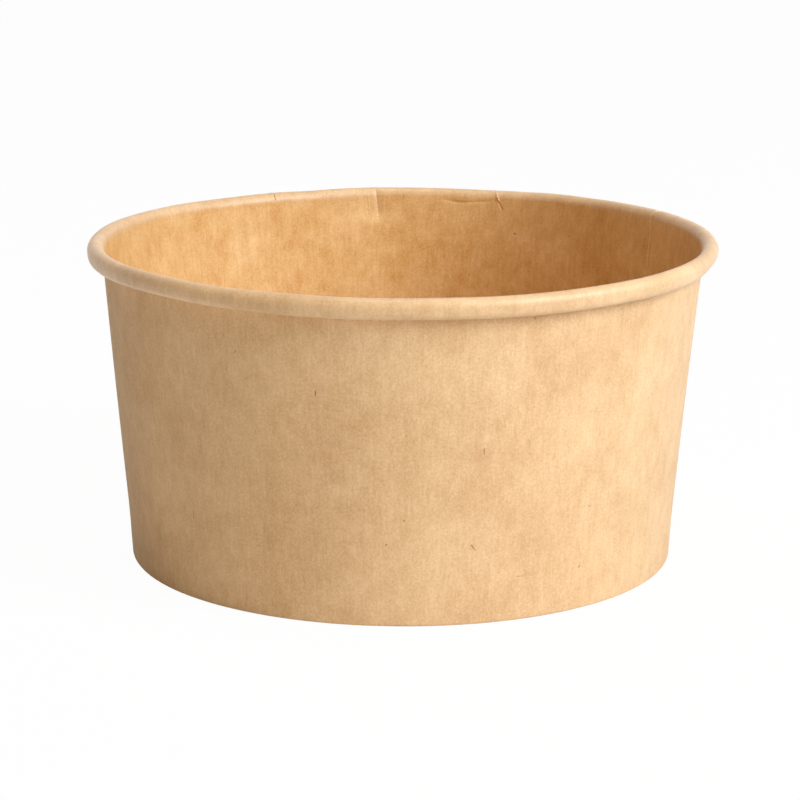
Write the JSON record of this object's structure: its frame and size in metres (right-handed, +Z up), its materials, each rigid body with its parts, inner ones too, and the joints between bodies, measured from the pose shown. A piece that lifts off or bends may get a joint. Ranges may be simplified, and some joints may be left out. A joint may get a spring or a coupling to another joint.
{
  "type": "kraft paper bowl",
  "caption": "Round kraft paper food bowl with a rolled rim, a lapped side seam and a recessed base held in a folded foot.",
  "frame": {"origin": "middle of the ring that the bowl stands on", "axes": "+Z up out of the bowl's mouth, -Y towards the viewer of the reference picture, +X to that viewer's right"},
  "size_m": [0.15, 0.15, 0.0765],
  "materials": {
    "kraft_wall": "unbleached kraft board, uncoated outside and with a thin food-safe film inside",
    "kraft_base": "unbleached kraft board with a thin food-safe film on top"
  },
  "bodies": {
    "root": {"side_wall": "kraft_wall", "base_disc": "kraft_base"}
  },
  "joints": []
}
